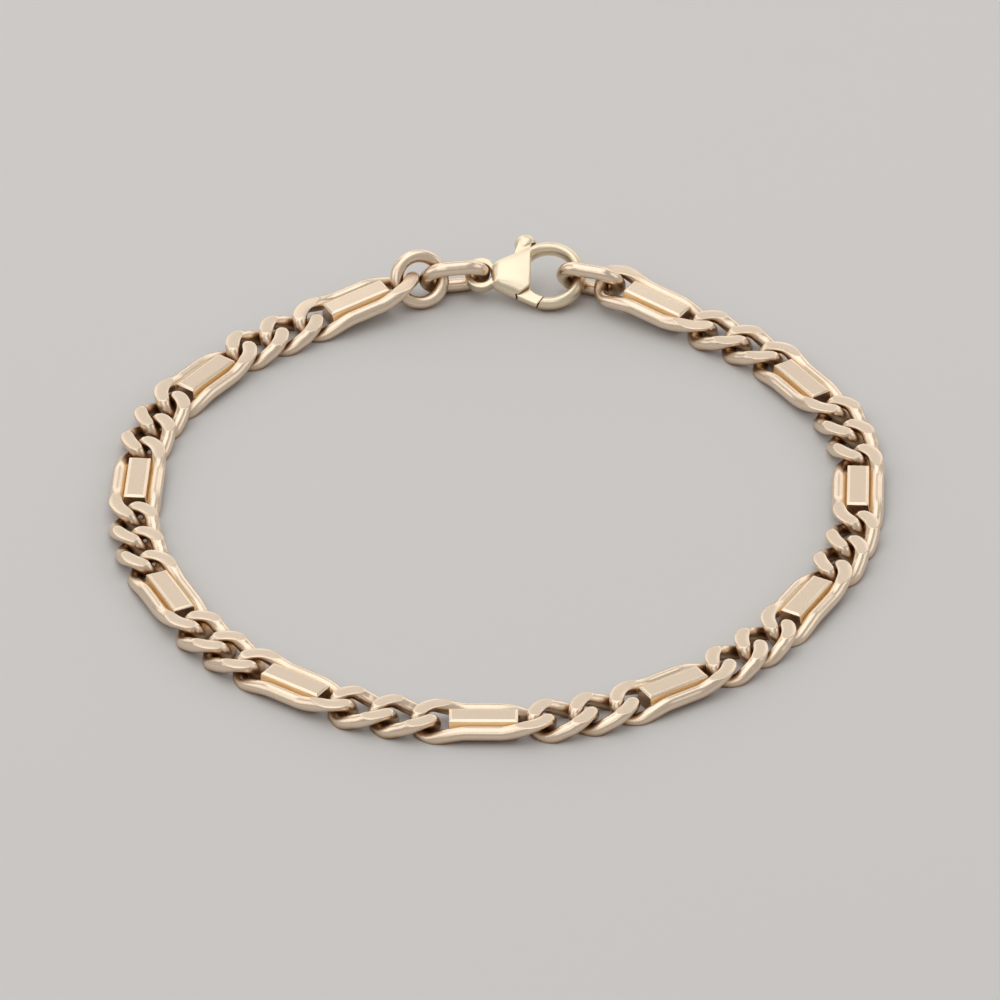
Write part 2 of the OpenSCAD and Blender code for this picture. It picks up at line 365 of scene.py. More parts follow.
@dataclass(frozen=True)
class Gold:
    """A polished and worn gold finish, with a painted reflection between its own faces and painted
    shade near other faces.

    Attributes:
        slot: The record's material slot.
        colour: Linear colour of the clean metal.
        painted_reflection: Linear colour painted between the metal's own faces, a painted
            reflection of the metal in itself.
        shade_and_wear: Linear colour of the painted shade close to the ground and to other pieces,
            and the tint of worn edges.
        polish: Roughness of the round wire.
        satin: Roughness that the cut flats add.
        nicks: Depth of the bump of the nicks, in metres.
    """

    slot: Slot
    colour: Triple
    painted_reflection: Triple
    shade_and_wear: Triple
    polish: float
    satin: float
    nicks: float

    # Patterns, in waves per millimetre, and the part of their values that counts
    CLOUDS, CLOUD_SPAN = 0.35, (0.35, 0.65)
    GRAIN = (1.2, 14.0, 14.0)
    PITS, PIT_SPAN = 3.2, (0.62, 0.72)
    WEAR, WEAR_SPAN = 1.1, (0.42, 0.58)
    WAVES = 0.8
    # How far it looks for its own faces, for the painted reflection, and for any, for the painted
    # shade, in metres, and the openness that counts
    OWN_REACH, OWN_SPAN = 0.9 * MM, (0.35, 0.85)
    ANY_REACH, ANY_SPAN = 1.4 * MM, (0.25, 0.8)
    # Colour: shade of a cloud, tint of a worn edge, the least wear, painted shade left in a groove
    CLOUD_SHADE = 0.95
    WORN_SHARE = 0.55
    LEAST_WEAR = 0.1
    GROOVE_SHADE_SHARE = 0.1
    # Roughness: spread of the streaks and of the clouds, and what the places of painted shade add
    STREAK_SPREAD = (0.9, 1.1)
    CLOUD_SPREAD = (0.9, 1.15)
    HIDDEN_ROUGHNESS = 0.15
    # Bump: depth of the nicks away from an edge, and height of the waves beside them
    NICKS_ELSEWHERE = 0.15
    WAVE_HEIGHT = 1.2

    def material(self) -> bpy.types.Material:
        """Builds the node material.

        Returns:
            The material, which reads the pieces' own attributes.
        """
        made = bpy.data.materials.new(self.slot.value)
        made.use_nodes = True
        nodes = Nodes(made.node_tree)
        shader = made.node_tree.nodes["Principled BSDF"]
        shader.inputs["Metallic"].default_value = 1.0
        own = nodes.attribute("own", "Vector")
        flat = nodes.attribute("flat", "Fac")
        edge = nodes.attribute("edge", "Fac")
        cloud = nodes.noise(own, self.CLOUDS, detail=3.0)
        grain = nodes.noise(nodes.stretched(own, self.GRAIN), 1.0, detail=3.0)
        pits = nodes.noise(own, self.PITS, detail=2.0)
        wear = nodes.noise(own, self.WEAR, detail=2.0)
        worn = nodes.product(edge, nodes.mapped(wear, self.WEAR_SPAN, (self.LEAST_WEAR, 1.0)))
        # Painted reflection: the colour turns to the warm tint where the piece's own faces are
        # near, standing in for the metal mirroring itself
        reflection_mask = nodes.mapped(nodes.openness(self.OWN_REACH, True), self.OWN_SPAN, (1.0, 0.0))
        # Painted shade: the colour darkens where any faces, the floor's among them, are near; under
        # is that painted shade, with less of it in a groove
        shade_mask = nodes.mapped(nodes.openness(self.ANY_REACH, False), self.ANY_SPAN, (1.0, 0.0))
        under = nodes.product(shade_mask, nodes.mapped(reflection_mask, (0.0, 1.0), (1.0, self.GROOVE_SHADE_SHARE)))

        cloudy = tuple(self.CLOUD_SHADE * c for c in self.colour)
        clean = nodes.mixed(cloud, self.colour, cloudy, self.CLOUD_SPAN)
        lined = nodes.blended(nodes.product(worn, self.WORN_SHARE), clean, self.shade_and_wear)
        # The painted reflection where its own faces are near, then the painted shade near the floor
        # and other pieces
        colour = nodes.blended(under, nodes.blended(reflection_mask, lined, self.painted_reflection), self.shade_and_wear)
        nodes.join(colour, shader.inputs["Base Color"])

        streaked = tuple(self.satin * share for share in self.STREAK_SPREAD)
        polished = tuple(self.polish * share for share in self.CLOUD_SPREAD)
        streaks = nodes.product(flat, nodes.mapped(grain, NOISE_MIDDLE, streaked))
        rough = nodes.sum(nodes.mapped(cloud, NOISE_MIDDLE, polished), streaks)
        dull = nodes.product(shade_mask, self.HIDDEN_ROUGHNESS)
        nodes.join(nodes.sum(rough, dull), shader.inputs["Roughness"])

        dents = nodes.mapped(pits, self.PIT_SPAN, (0.0, -1.0))
        dents = nodes.product(dents, nodes.sum(edge, self.NICKS_ELSEWHERE))
        waves = nodes.product(nodes.noise(own, self.WAVES, detail=1.0), self.WAVE_HEIGHT)
        nodes.join(nodes.bump(nodes.sum(dents, waves), self.nicks), shader.inputs["Normal"])
        return made


class Nodes:
    """Makes and joins a material's nodes, one short call each."""

    SHADE_SAMPLES = 8
    # Places of the Mix node's sockets for colours
    MIX_FACTOR, MIX_FIRST, MIX_SECOND, MIX_RESULT = 0, 6, 7, 2

    def __init__(self, tree: bpy.types.NodeTree) -> None:
        """Keeps the node tree that the calls work on."""
        self.tree = tree

    def join(self, source: Socket, target: Socket) -> None:
        """Links one socket to another."""
        self.tree.links.new(source, target)

    def put(self, value: "float | tuple | Socket", target: Socket) -> None:
        """Links a socket, or sets a value, on an input.

        Args:
            value: The value, or the socket that gives it.
            target: The input.
        """
        if isinstance(value, Socket):
            self.join(value, target)
        else:
            target.default_value = value

    def attribute(self, name: str, output: str) -> Socket:
        """Reads one of the mesh's own attributes.

        Args:
            name: The attribute's name.
            output: The node's output that gives it.

        Returns:
            The attribute's value.
        """
        node = self.tree.nodes.new("ShaderNodeAttribute")
        node.attribute_name = name
        return node.outputs[output]

    def noise(self, place: Socket, scale: float, detail: float) -> Socket:
        """Makes a noise.

        Args:
            place: Where it is read.
            scale: Its waves per unit of the place.
            detail: How many finer octaves it has.

        Returns:
            The noise, between 0 and 1.
        """
        node = self.tree.nodes.new("ShaderNodeTexNoise")
        node.inputs["Scale"].default_value = scale
        node.inputs["Detail"].default_value = detail
        self.join(place, node.inputs["Vector"])
        return node.outputs["Fac"]

    def stretched(self, place: Socket, scale: Triple) -> Socket:
        """Scales a place unevenly, for fine lines.

        Args:
            place: The place.
            scale: The scales of its three axes.

        Returns:
            The scaled place.
        """
        node = self.tree.nodes.new("ShaderNodeMapping")
        node.inputs["Scale"].default_value = scale
        self.join(place, node.inputs["Vector"])
        return node.outputs["Vector"]

    def openness(self, distance: float, own_only: bool) -> Socket:
        """Looks round for metal that is near.

        Args:
            distance: How far it looks, in metres.
            own_only: Whether only the piece's own faces count.

        Returns:
            1 where the metal is open, and less where such faces are near.
        """
        node = self.tree.nodes.new("ShaderNodeAmbientOcclusion")
        node.inputs["Distance"].default_value = distance
        node.samples = self.SHADE_SAMPLES
        node.only_local = own_only
        return node.outputs["AO"]

    def mapped(self, value: Socket, span: Pair, result: Pair) -> Socket:
        """Maps a value from one range to another, and clamps it there.

        Args:
            value: The value.
            span: Its own range.
            result: What the range's two ends become.

        Returns:
            The mapped value.
        """
        node = self.tree.nodes.new("ShaderNodeMapRange")
        for name, number in zip(("From Min", "From Max", "To Min", "To Max"), (*span, *result)):
            node.inputs[name].default_value = number
        self.join(value, node.inputs["Value"])
        return node.outputs["Result"]

    def math(self, operation: str, a: "float | Socket", b: "float | Socket") -> Socket:
        """Works out one operation on two values.

        Args:
            operation: The node's name for it.
            a: The first value.
            b: The second value.

        Returns:
            The result.
        """
        node = self.tree.nodes.new("ShaderNodeMath")
        node.operation = operation
        self.put(a, node.inputs[0])
        self.put(b, node.inputs[1])
        return node.outputs["Value"]

    def sum(self, a: "float | Socket", b: "float | Socket") -> Socket:
        """Adds two values."""
        return self.math("ADD", a, b)

    def product(self, a: "float | Socket", b: "float | Socket") -> Socket:
        """Multiplies two values."""
        return self.math("MULTIPLY", a, b)

    def blended(self, factor: Socket, first: "tuple | Socket", second: "tuple | Socket") -> Socket:
        """Blends two colours.

        Args:
            factor: 0 for the first colour, 1 for the second.
            first: The first colour.
            second: The second colour.

        Returns:
            The blended colour.
        """
        node = self.tree.nodes.new("ShaderNodeMix")
        node.data_type = "RGBA"
        self.join(factor, node.inputs[self.MIX_FACTOR])
        for value, place in ((first, self.MIX_FIRST), (second, self.MIX_SECOND)):
            self.put((*value, 1.0) if isinstance(value, tuple) else value, node.inputs[place])
        return node.outputs[self.MIX_RESULT]

    def mixed(self, value: Socket, first: Triple, second: Triple, span: Pair) -> Socket:
        """Blends two colours as a value goes through its range."""
        return self.blended(self.mapped(value, span, (0.0, 1.0)), first, second)

    def bump(self, height: Socket, distance: float) -> Socket:
        """Turns a height into a bent normal.

        Args:
            height: The height.
            distance: What a height of 1 is, in metres.

        Returns:
            The normal.
        """
        node = self.tree.nodes.new("ShaderNodeBump")
        node.inputs["Distance"].default_value = distance
        self.join(height, node.inputs["Height"])
        return node.outputs["Normal"]


LINK_FINISH = Gold(Slot.LINKS, (0.88, 0.72, 0.56), (0.98, 0.8, 0.54), (0.38, 0.2, 0.07),
                   polish=0.25, satin=0.03, nicks=0.008 * MM)
CLASP_FINISH = Gold(Slot.CLASP, (0.87, 0.75, 0.56), (0.98, 0.82, 0.56), (0.38, 0.2, 0.07),
                    polish=0.3, satin=0.05, nicks=0.006 * MM)


class Dresser:
    """Turns meshes in a piece's own millimetres into finished objects on their body."""

    # How far each piece's patterns lie from the last one's, in millimetres
    PATTERN_STEP = 40.0
    # How much the large faces bend the normals at a flat's edge
    FLAT_WEIGHT = 60

    def __init__(self) -> None:
        """Builds each finish's material once."""
        self.materials = {finish.slot: finish.material() for finish in (LINK_FINISH, CLASP_FINISH)}
        self.count = 0

    def place(self, name: str, mesh: bpy.types.Mesh, matrix: Matrix, slot: Slot, node: str,
              body: str = ROOT_BODY) -> None:
        """Puts a copy of a mesh at its place, gives it its finish and its body.

        Args:
            name: The new piece's name.
            mesh: The shape in its own millimetres.
            matrix: From the own millimetres to the bracelet's metres.
            slot: The material slot that its finish is kept in.
            node: The CAD node that it stands for.
            body: The body that it rides on.
        """
        own = mesh.copy()
        own.name = name
        spots = np.empty(3 * len(own.vertices))
        own.vertices.foreach_get("co", spots)
        layer = own.attributes.new("own", "FLOAT_VECTOR", "POINT")
        layer.data.foreach_set("vector", spots + self.PATTERN_STEP * self.count)
        own.transform(matrix)
        own.materials.clear()
        own.materials.append(self.materials[slot])
        own.shade_smooth()
        made = bpy.data.objects.new(name, own)
        made.modifiers.new("even_flats", "WEIGHTED_NORMAL").weight = self.FLAT_WEIGHT
        bpy.context.scene.collection.objects.link(made)
        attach(made, body)
        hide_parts(node)
        self.count += 1
        LOG.info("%s: %d faces on %s", name, len(own.polygons), body)


def mesh_of(name: str, bm: BMesh) -> bpy.types.Mesh:
    """Turns a bmesh into a mesh and frees it.

    Args:
        name: The mesh's name.
        bm: The bmesh.

    Returns:
        The mesh.
    """
    mesh = bpy.data.meshes.new(name)
    bm.to_mesh(mesh)
    bm.free()
    return mesh


class Shape:
    """A solid being worked on with a second one, as a scratch object."""

    SMOOTHING = 0.5

    def __init__(self, name: str, bm: BMesh) -> None:
        """Takes over a closed bmesh.

        Args:
            name: The scratch object's name.
            bm: The bmesh, which is freed.
        """
        bmesh.ops.recalc_face_normals(bm, faces=bm.faces)
        self.thing = bpy.data.objects.new(name, mesh_of(name, bm))
        bpy.context.scene.collection.objects.link(self.thing)

    def settle(self) -> None:
        """Applies the modifiers that the object has."""
        graph = bpy.context.evaluated_depsgraph_get()
        mesh = bpy.data.meshes.new_from_object(self.thing.evaluated_get(graph))
        self.thing.modifiers.clear()
        self.thing.data = mesh

    def work(self, how: Cut, other: "Shape") -> "Shape":
        """Cuts, joins or keeps what a second shape covers, and removes that second shape.

        Args:
            how: What is done.
            other: The second shape.

        Returns:
            This shape.
        """
        tool = self.thing.modifiers.new(how.name, "BOOLEAN")
        tool.operation = how.value
        tool.solver = "EXACT"
        tool.object = other.thing
        self.settle()
        other.remove()
        return self

    def soften(self, grid: float, passes: int) -> "Shape":
        """Meshes the whole skin evenly and rounds its edges, as polishing does.

        Args:
            grid: Size of the new faces.
            passes: How often the skin is smoothed.

        Returns:
            This shape.
        """
        skin = self.thing.modifiers.new("skin", "REMESH")
        skin.mode = "VOXEL"
        skin.voxel_size = grid
        skin.adaptivity = 0.0
        self.settle()
        bm = bmesh.new()
        bm.from_mesh(self.thing.data)
        for _ in range(passes):
            bmesh.ops.smooth_vert(bm, verts=bm.verts, factor=self.SMOOTHING, use_axis_x=True,
                                  use_axis_y=True, use_axis_z=True)
        bm.to_mesh(self.thing.data)
        bm.free()
        return self

    def take_mesh(self) -> bpy.types.Mesh:
        """Ends the work and removes the scratch object.

        Returns:
            The finished mesh.
        """
        mesh = self.thing.data
        self.remove()
        return mesh

    def remove(self) -> None:
        """Removes the scratch object."""
        bpy.data.objects.remove(self.thing)


def block(size: Vector, centre: Vector, turn: float = 0.0) -> BMesh:
    """Makes a box.

    Args:
        size: The three lengths.
        centre: The middle, before the turn.
        turn: Turn about z through the own origin, in degrees.

    Returns:
        The box as a bmesh.
    """
    bm = bmesh.new()
    bmesh.ops.create_cube(bm, size=1.0)
    turned = Matrix.Rotation(math.radians(turn), 4, "Z")
    place = turned @ Matrix.Translation(centre) @ Matrix.Diagonal((*size, 1.0))
    bmesh.ops.transform(bm, matrix=place, verts=bm.verts)
    return bm


def pillar(diameter: float, height: float, centre: Vector = Vector()) -> BMesh:
    """Makes an upright round pillar.

    Args:
        diameter: Its diameter.
        height: Its height.
        centre: Its middle.

    Returns:
        The pillar as a bmesh.
    """
    bm = bmesh.new()
    bmesh.ops.create_cone(bm, cap_ends=True, segments=ROUND_STEPS, radius1=diameter / 2,
                          radius2=diameter / 2, depth=height, matrix=Matrix.Translation(centre))
    return bm


def spin_round(bm: BMesh) -> None:
    """Spins an outline into a closed skin about the own z axis.

    Args:
        bm: The bmesh, which holds nothing but the outline.
    """
    bmesh.ops.spin(bm, geom=bm.verts[:] + bm.edges[:], axis=(0, 0, 1), cent=(0, 0, 0),
                   angle=2 * math.pi, steps=ROUND_STEPS, use_merge=True)
    bmesh.ops.remove_doubles(bm, verts=bm.verts, dist=WELD)
    bmesh.ops.recalc_face_normals(bm, faces=bm.faces)


def half_space(bm: BMesh, point: Vector, outward: Vector) -> BMesh:
    """Cuts a closed bmesh by a plane, keeps what lies inwards of it and closes the cut.

    Args:
        bm: The closed bmesh, which is changed.
        point: A point of the plane.
        outward: The plane's direction on the side that goes.

    Returns:
        The same bmesh.
    """
    geom = bm.verts[:] + bm.edges[:] + bm.faces[:]
    cut = bmesh.ops.bisect_plane(bm, geom=geom, plane_co=point, plane_no=outward, clear_outer=True)
    rim = [part for part in cut["geom_cut"] if isinstance(part, bmesh.types.BMEdge)]
    bmesh.ops.holes_fill(bm, edges=rim, sides=0)
    return bm


@dataclass(frozen=True)
class Bar:
    """The bar between a long link's rails.

    Attributes:
        length: Its length.
        half_width: Half its width at its top.
        spread: How much further each side reaches at its underside, past its seat in the rail.
        top: Height of its top over the link's middle plane.
        under: Depth of its underside below that plane.
        bevel: Width of the sloping band round its top.
        drop: How much that band slopes down.
        blunting: Width of the bevel on its edges.
    """

    length: float = 5.8
    half_width: float = 0.93
    spread: float = 0.19
    top: float = 0.795
    under: float = 0.875
    bevel: float = 0.24
    drop: float = 0.11
    blunting: float = 0.05

    BLUNT_SEGMENTS = 3
    FACES_UP = 0.9

    def build(self) -> BMesh:
        """Makes the bar from a box whose sides lean out and whose top is drawn in.

        Returns:
            The bar as a bmesh, with its edges blunted.
        """
        shoulder = self.top - self.drop
        size = Vector((self.length, 2 * self.half_width, shoulder + self.under))
        bm = block(size, Vector((0, 0, (shoulder - self.under) / 2)))
        for vert in bm.verts:
            if vert.co.z < 0:
                vert.co.y += math.copysign(self.spread, vert.co.y)
        bm.normal_update()
        crown = [face for face in bm.faces if face.normal.z > self.FACES_UP]
        bmesh.ops.inset_region(bm, faces=crown, thickness=self.bevel, depth=self.drop,
                               use_even_offset=True)
        bmesh.ops.bevel(bm, geom=bm.edges[:], offset=self.blunting, affect="EDGES",
                        segments=self.BLUNT_SEGMENTS, profile=0.5, material=-1)
        return bm


@dataclass(frozen=True)
class Chain:
    """All the curb links, the bar links and the plain pieces beside the clasp.

    Attributes:
        bar_links: How many long links there are.
        curb_links: How many short links there are.
        short: The short link's form.
        long: The long link's form.
        plain: The form of the links beside the clasp.
        bar: The bar in a long link.
        ring_radius: Radius of the jump ring's middle line.
        ring_wire: Diameter of its wire.
    """

    bar_links: int = 11
    curb_links: int = 20
    short: LinkForm = LinkForm(length=6.25)
    long: LinkForm = LinkForm(length=12.3, late=1.6, straight=2.8)
    plain: LinkForm = LinkForm(length=6.25, twist=0.0)
    bar: Bar = Bar()
    ring_radius: float = 2.05
    ring_wire: float = 1.15

    WIRE_SIDES = 32

    def barred(self) -> tuple[bpy.types.Mesh, Vector]:
        """Builds a long link with its bar soldered in.

        Returns:
            The link's mesh and its volume's centre.
        """
        made = Shape("bar_link", self.long.build())
        mesh = made.work(Cut.JOIN, Shape("bar", self.bar.build())).take_mesh()
        bm = bmesh.new()
        bm.from_mesh(mesh)
        flat = bm.verts.layers.float["flat"]
        for vert in bm.verts:
            if vert.co.z > self.bar.top - WELD and abs(vert.co.x) < self.bar.length / 2:
                vert[flat] = 1.0
        centre = volume_centre(bm)
        bm.to_mesh(mesh)
        bm.free()
        return mesh, centre

    def ring(self) -> bpy.types.Mesh:
        """Builds the jump ring by spinning a circle.

        Returns:
            The ring's mesh.
        """
        bm = bmesh.new()
        upright = Matrix.Rotation(math.radians(90), 4, "X")
        bmesh.ops.create_circle(bm, segments=self.WIRE_SIDES, radius=self.ring_wire / 2,
                                matrix=Matrix.Translation((self.ring_radius, 0, 0)) @ upright)
        spin_round(bm)
        return mesh_of("ring", bm)

    def dress(self, dresser: Dresser) -> None:
        """Builds each form once and puts a copy in every link's seat.

        Args:
            dresser: What finishes and places them.
        """
        short = mesh_of("short", self.short.build())
        plain = mesh_of("plain", self.plain.build())
        long, centre = self.barred()
        for i in range(1, self.bar_links + 1):
            node = f"bar_link_{i:02d}"
            matrix = Seat.of_node(node).matrix() @ Matrix.Translation(-centre)
            dresser.place(f"long_link_with_bar_{i:02d}", long, matrix, Slot.LINKS, node)
        shorts = [(f"short_link_{i:02d}", short, f"curb_link_{i:02d}")
                  for i in range(1, self.curb_links + 1)]
        plains = [(f"plain_{node}", plain, node) for node in ("end_link_tail", "end_link_hook")]
        for name, mesh, node in shorts + plains:
            dresser.place(name, mesh, Seat.of_node(node).matrix(), Slot.LINKS, node)
        seat = Seat.of_ring("jump_ring")
        dresser.place("round_jump_ring", self.ring(), seat.matrix(), Slot.LINKS, "jump_ring")


@dataclass(frozen=True)
class Clasp:
    """The lobster clasp: its body with hook, lug and pin, and its lever with gate and knob.

    Attributes:
        head_x: Place of the round head's centre, from the lug's hole.
        head_width: Width of the round head.
        head_thick: Thickness of the head.
        arm: Width of the hook's arm.
        belly_width: Width of the belly.
        belly_thick: Thickness of the belly.
        belly_rim: How far in from its edge the belly is rounded.
        tail_width: Width of the blunt tail.
        tail_thick: Thickness of the tail.
        lug: Diameter of the lug.
        lug_thick: Thickness of the lug.
        lug_hole: Diameter of the lug's hole.
        lever_thick: Thickness of the lever.
        lever_gap: Clearance round the lever.
        gate: Length of the gate, from the pin to the hook's nose.
        pin: Diameter of the pin.
        pin_gap: Clearance of the pin, on the radius.
        hub: Radius of the lever round its pin.
        turn: Largest turn of the lever, in degrees.
        neck: Width of the lever's neck.
        knob: Diameter of the knob.
        knob_thick: Thickness of the knob.
        knob_rise: Height of the knob's centre over the far edge.
        gate_low: First angle of the gate about the pin, in degrees.
        gate_high: Last angle of the gate.
        cheek_slant: Slant of the cheek that the gate leaves, in degrees.
    """

    head_x: float = 5.9
    head_width: float = 6.5
    head_thick: float = 1.6
    arm: float = 1.15
    belly_width: float = 4.5
    belly_thick: float = 2.3
    belly_rim: float = 1.65
    tail_width: float = 3.0
    tail_thick: float = 1.9
    lug: float = 2.9
    lug_thick: float = 1.1
    lug_hole: float = 1.8
    lever_thick: float = 1.0
    lever_gap: float = 0.08
    gate: float = 3.3
    pin: float = 0.8
    pin_gap: float = 0.05
    hub: float = 0.75
    turn: float = 45.0
    neck: float = 1.2
    knob: float = 1.9
    knob_thick: float = 1.2
    knob_rise: float = 0.42
    gate_low: float = -68.0
    gate_high: float = -12.0
    cheek_slant: float = 36.0

    # Places along the clasp, as shares of head_x, and the pivot's place across it, of belly_width
    BELLY_ALONG = 0.6
    KNOB_ALONG = 0.64
    PIVOT_ALONG, PIVOT_ACROSS = 0.44, -0.16
    # How far the eye's straight edge lies from its centre, as a share of its radius
    EYE_CHORD = 0.77
    # Longer than the clasp
    BIG = 40.0
    # Size of the new faces and passes of smoothing, for the outer form and for each finished piece
    FORM_GRID, FORM_PASSES = 0.08, 40
    BODY_GRID, LEVER_GRID, SKIN_PASSES = 0.045, 0.035, 12
    # Angles of the circles that a rounded rim is drawn with, in degrees
    DOME_ANGLES = range(-85, 90, 5)
    ARM_ANGLES = range(-85, 90, 10)
    KNOB_SIDES = 64

    @property
    def eye_radius(self) -> float:
        """Radius of the hook's eye."""
        return self.head_width / 2 - self.arm

    @property
    def eye_edge(self) -> float:
        """Place of the eye's straight edge at the belly."""
        return self.head_x - self.EYE_CHORD * self.eye_radius

    @property
    def pivot(self) -> Vector:
        """The pin's place."""
        return Vector((self.PIVOT_ALONG * self.head_x, self.PIVOT_ACROSS * self.belly_width, 0.0))

    @property
    def belly_x(self) -> float:
        """Place of the belly's centre, from the lug's hole."""
        return self.BELLY_ALONG * self.head_x

    @property
    def flank(self) -> float:
        """Slant of the far edge between belly and head, in degrees."""
        rise = (self.head_width - self.belly_width) / 2
        return math.degrees(math.asin(rise / (self.head_x - self.belly_x)))

    @property
    def knob_foot(self) -> Vector:
        """The point of the far edge that the knob sits on."""
        x, slant = self.KNOB_ALONG * self.head_x, math.radians(self.flank)
        beyond = math.sin(slant) * (x - self.belly_x)
        return Vector((x, (self.belly_width / 2 + beyond) / math.cos(slant), 0.0))

    @property
    def knob_spot(self) -> Vector:
        """The knob's centre."""
        return self.knob_foot + Vector((0.0, self.knob_rise, 0.0))

    @property
    def knob_angle(self) -> float:
        """The knob's angle about the pivot, in degrees."""
        reach = self.knob_spot - self.pivot
        return math.degrees(math.atan2(reach.y, reach.x))

    def form(self) -> Shape:
        """Wraps the tail's two balls, the domed belly and the domed head into the outer form.

        Returns:
            The form, softened.
        """
        bm = bmesh.new()
        ball, side = self.tail_thick, (self.tail_width - self.tail_thick) / 2
        tail_x = self.lug / 4 + ball / 2
        domes = ((tail_x, -side, ball, ball, ball / 2),
                 (tail_x, side, ball, ball, ball / 2),
                 (self.belly_x, 0.0, self.belly_width, self.belly_thick, self.belly_rim),
                 (self.head_x, 0.0, self.head_width, self.head_thick, self.arm / 2))
        for x, y, width, thick, rim in domes:
            for angle in self.DOME_ANGLES:
                way = direction(angle)
                bmesh.ops.create_circle(bm, segments=ROUND_STEPS,
                                        radius=width / 2 - rim + way.x * rim,
                                        matrix=Matrix.Translation((x, y, way.y * thick / 2)))
        hull = bmesh.ops.convex_hull(bm, input=bm.verts, use_existing_faces=False)
        loose = {part for part in hull["geom_interior"] + hull["geom_unused"]
                 if isinstance(part, bmesh.types.BMVert)}
        bmesh.ops.delete(bm, geom=list(loose), context="VERTS")
        bmesh.ops.delete(bm, geom=[edge for edge in bm.edges if not edge.link_faces],
                         context="EDGES")
        return Shape("form", bm).soften(self.FORM_GRID, self.FORM_PASSES)

    def eye(self) -> BMesh:
        """Makes the space inside the hook, whose arm has a half round rim there.

        Returns:
            The space as a closed bmesh.
        """
        bm = bmesh.new()
        tall, reach, rim = self.belly_thick, self.eye_radius + self.arm / 2, self.arm / 2
        ways = [direction(angle) for angle in self.ARM_ANGLES]
        arc = [(reach - way.x * rim, 0, way.y * self.head_thick / 2) for way in ways]
        points = [(0, 0, -tall), (reach, 0, -tall), *arc, (reach, 0, tall), (0, 0, tall)]
        verts = [bm.verts.new(point) for point in points]
        for pair in zip(verts, verts[1:]):
            bm.edges.new(pair)
        spin_round(bm)
        bmesh.ops.translate(bm, vec=(self.head_x, 0, 0), verts=bm.verts)
        return half_space(bm, Vector((self.eye_edge, 0, 0)), Vector((-1, 0, 0)))

    def mouth(self) -> BMesh:
        """Makes the space that the gate closes.

        Returns:
            The space as a closed bmesh, which ends at the cheek.
        """
        corner_y = -math.sqrt(self.eye_radius ** 2 - (self.head_x - self.eye_edge) ** 2)
        bm = pillar(2 * self.gate, 2 * self.belly_thick, self.pivot)
        outward = direction(self.cheek_slant + 90)
        return half_space(bm, Vector((self.eye_edge, corner_y, 0)), outward)

    def wedge(self, low: float, high: float, side: float, thick: float) -> BMesh:
        """Makes a wedge about the pivot between two angles.

        Args:
            low: Its first angle, in degrees.
            high: Its last angle, in degrees.
            side: How much it is widened beyond each of them.
            thick: Its thickness.

        Returns:
            The wedge as a closed bmesh.
        """
        bm = bmesh.new()
        a, b = side * direction(low - 90), side * direction(high + 90)
        points = [a, a + self.BIG * direction(low), 2 * self.BIG * direction((low + high) / 2),
                  b + self.BIG * direction(high)]
        if side > 0:
            points.append(b)
        down = Vector((0, 0, -thick / 2))
        face = bm.faces.new([bm.verts.new(self.pivot + point + down) for point in points])
        raised = bmesh.ops.extrude_face_region(bm, geom=[face])
        top = [part for part in raised["geom"] if isinstance(part, bmesh.types.BMVert)]
        bmesh.ops.translate(bm, vec=(0, 0, thick), verts=top)
        bmesh.ops.recalc_face_normals(bm, faces=bm.faces)
        return bm

    def button(self) -> BMesh:
        """Makes the knob: a ball pressed flat, cut off just over the far edge.

        Returns:
            The knob as a closed bmesh.
        """
        bm = bmesh.new()
        pressed = Matrix.Diagonal((self.knob, self.knob, self.knob_thick, 1.0))
        bmesh.ops.create_uvsphere(bm, u_segments=self.KNOB_SIDES, v_segments=self.KNOB_SIDES // 2,
                                  radius=0.5, matrix=Matrix.Translation(self.knob_spot) @ pressed)
        inward = direction(self.flank - 90)
        return half_space(bm, self.knob_foot - self.lever_gap * inward, inward)

    def body(self) -> bpy.types.Mesh:
        """Builds the body: form, lug and pin, less the hole, the eye, the mouth and the slot.

        Returns:
            The body's mesh.
        """
        gap, slot = self.lever_gap, self.lever_thick + 2 * self.lever_gap
        made = self.form()
        made.work(Cut.JOIN, Shape("lug", pillar(self.lug, self.lug_thick)))
        made.work(Cut.AWAY, Shape("hole", pillar(self.lug_hole, 2 * self.belly_thick)))
        made.work(Cut.AWAY, Shape("eye", self.eye()))
        made.work(Cut.AWAY, Shape("mouth", self.mouth()))
        made.work(Cut.AWAY, Shape("hub_room", pillar(2 * (self.hub + gap), slot, self.pivot)))
        swing = self.wedge(self.gate_low, self.gate_high + self.turn, gap, slot)
        gate_room = Shape("gate_room", swing)
        gate_room.work(Cut.KEEP, Shape("reach", pillar(2 * self.gate - gap, 2 * slot, self.pivot)))
        made.work(Cut.AWAY, gate_room)
        angle = self.knob_angle
        swing = self.wedge(angle, angle + self.turn, self.neck / 2 + gap, slot)
        made.work(Cut.AWAY, Shape("neck_room", swing))
        made.work(Cut.JOIN, Shape("pin", pillar(self.pin, self.tail_thick, self.pivot)))
        return made.soften(self.BODY_GRID, self.SKIN_PASSES).take_mesh()

